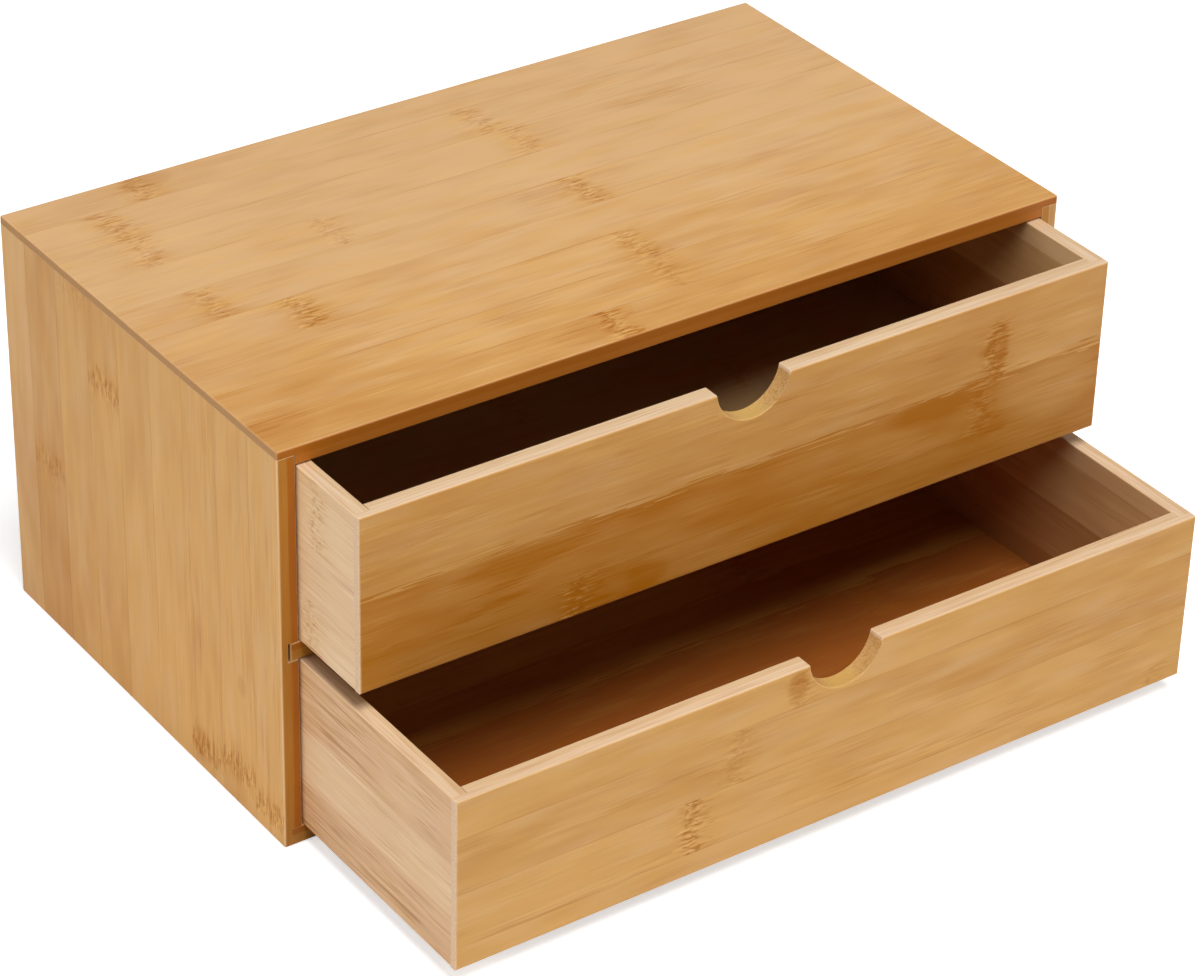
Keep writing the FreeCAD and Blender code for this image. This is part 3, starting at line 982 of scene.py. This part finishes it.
def light_softbox(context, name, box, level):
    """A square soft light that faces the organizer. At level 1 white paper that faces it shows as white."""
    data = bpy.data.lights.new(name, "AREA")
    data.shape = "SQUARE"
    data.size = box.size
    data.energy = level * (math.pi * box.distance) ** 2
    lamp = bpy.data.objects.new(name, data)
    context.scene.collection.objects.link(lamp)
    azimuth, elevation = math.radians(box.azimuth), math.radians(box.elevation)
    across = math.cos(elevation)
    back = Vector((math.sin(azimuth) * across, -math.cos(azimuth) * across, math.sin(elevation)))
    lamp.location = (cad_box[0] + cad_box[1]) / 2 + box.distance * back
    lamp.rotation_euler = back.to_track_quat("Z", "Y").to_euler()


def place_camera(context, settings):
    """A camera that looks at the aim."""
    turn = Matrix.Rotation(settings.azimuth, 4, "Z")
    turn = turn @ Matrix.Rotation(math.pi / 2 - settings.elevation, 4, "X")
    turn = turn @ Matrix.Rotation(settings.roll, 4, "Z")
    back = turn.to_3x3() @ Vector((0, 0, 1))
    data = bpy.data.cameras.new("camera")
    data.lens = settings.lens
    data.sensor_width = SENSOR_WIDTH
    camera = bpy.data.objects.new("camera", data)
    context.scene.collection.objects.link(camera)
    camera.matrix_world = Matrix.Translation(Vector(settings.aim) + settings.distance * back) @ turn
    context.scene.camera = camera


# Operators


class ORGANIZER_OT_top_panel(Operator):
    """Finish the top panel"""

    bl_idname = "organizer.top_panel"
    bl_label = "Top panel"

    def execute(self, context):
        finish_boards(context, ("top_panel",))
        return {"FINISHED"}


class ORGANIZER_OT_side_panels(Operator):
    """Finish the two side panels"""

    bl_idname = "organizer.side_panels"
    bl_label = "Side panels"

    def execute(self, context):
        finish_boards(context, ("left_side_panel", "right_side_panel"))
        return {"FINISHED"}


class ORGANIZER_OT_inner_panels(Operator):
    """Finish the shelf, bottom and back of the carcass"""

    bl_idname = "organizer.inner_panels"
    bl_label = "Shelf, bottom and back"

    def execute(self, context):
        finish_boards(context, ("middle_shelf", "bottom_panel", "back_panel"))
        return {"FINISHED"}


class ORGANIZER_OT_drawer_fronts(Operator):
    """Finish the two drawer fronts"""

    bl_idname = "organizer.drawer_fronts"
    bl_label = "Drawer fronts"

    def execute(self, context):
        finish_boards(context, [name for name in BOARDS if name.endswith("_drawer_front")])
        return {"FINISHED"}


class ORGANIZER_OT_drawer_walls(Operator):
    """Finish the sides and backs of the drawers"""

    bl_idname = "organizer.drawer_walls"
    bl_label = "Drawer sides and backs"

    def execute(self, context):
        drawer_boards = [name for name in BOARDS if "_drawer_" in name]
        finish_boards(context, [name for name in drawer_boards if name.endswith(("_side", "_back"))])
        return {"FINISHED"}


class ORGANIZER_OT_drawer_bottoms(Operator):
    """Finish the bottoms of the drawers"""

    bl_idname = "organizer.drawer_bottoms"
    bl_label = "Drawer bottoms"

    def execute(self, context):
        finish_boards(context, [name for name in BOARDS if name.endswith("_drawer_bottom")])
        return {"FINISHED"}


class ORGANIZER_OT_stage(Operator):
    """Build the floor, the lights and the world"""

    bl_idname = "organizer.stage"
    bl_label = "Floor and lights"

    def execute(self, context):
        studio = context.scene.organizer.studio
        build_floor(context, studio)
        light_world(context, studio)
        for name, box in SOFTBOXES.items():
            light_softbox(context, name + "_softbox", box, getattr(studio, name))
        context.scene.view_settings.view_transform = "Standard"
        return {"FINISHED"}


class ORGANIZER_OT_camera(Operator):
    """Set up the camera"""

    bl_idname = "organizer.camera"
    bl_label = "Camera"

    def execute(self, context):
        place_camera(context, context.scene.organizer.camera)
        return {"FINISHED"}


STEPS = (
    ORGANIZER_OT_top_panel,
    ORGANIZER_OT_side_panels,
    ORGANIZER_OT_inner_panels,
    ORGANIZER_OT_drawer_fronts,
    ORGANIZER_OT_drawer_walls,
    ORGANIZER_OT_drawer_bottoms,
    ORGANIZER_OT_stage,
    ORGANIZER_OT_camera,
)


class VIEW3D_PT_organizer(Panel):
    """Sidebar panel with the organizer's steps"""

    bl_label = "Drawer Organizer"
    bl_idname = "VIEW3D_PT_organizer"
    bl_space_type = "VIEW_3D"
    bl_region_type = "UI"
    bl_category = "Organizer"

    def draw(self, context):
        column = self.layout.column()
        for step in STEPS:
            column.operator(step.bl_idname)


GROUPS = (BambooColours, GrainSizes, StudioSettings, CameraSettings, OrganizerSettings)
CLASSES = GROUPS + STEPS + (VIEW3D_PT_organizer,)


def register():
    for made in CLASSES:
        bpy.utils.register_class(made)
    bpy.types.Scene.organizer = PointerProperty(type=OrganizerSettings)


def unregister():
    del bpy.types.Scene.organizer
    for made in reversed(CLASSES):
        bpy.utils.unregister_class(made)


def main():
    register()
    for step in STEPS:
        getattr(bpy.ops.organizer, step.bl_idname.split(".")[1])()


if __name__ == "__main__":
    main()
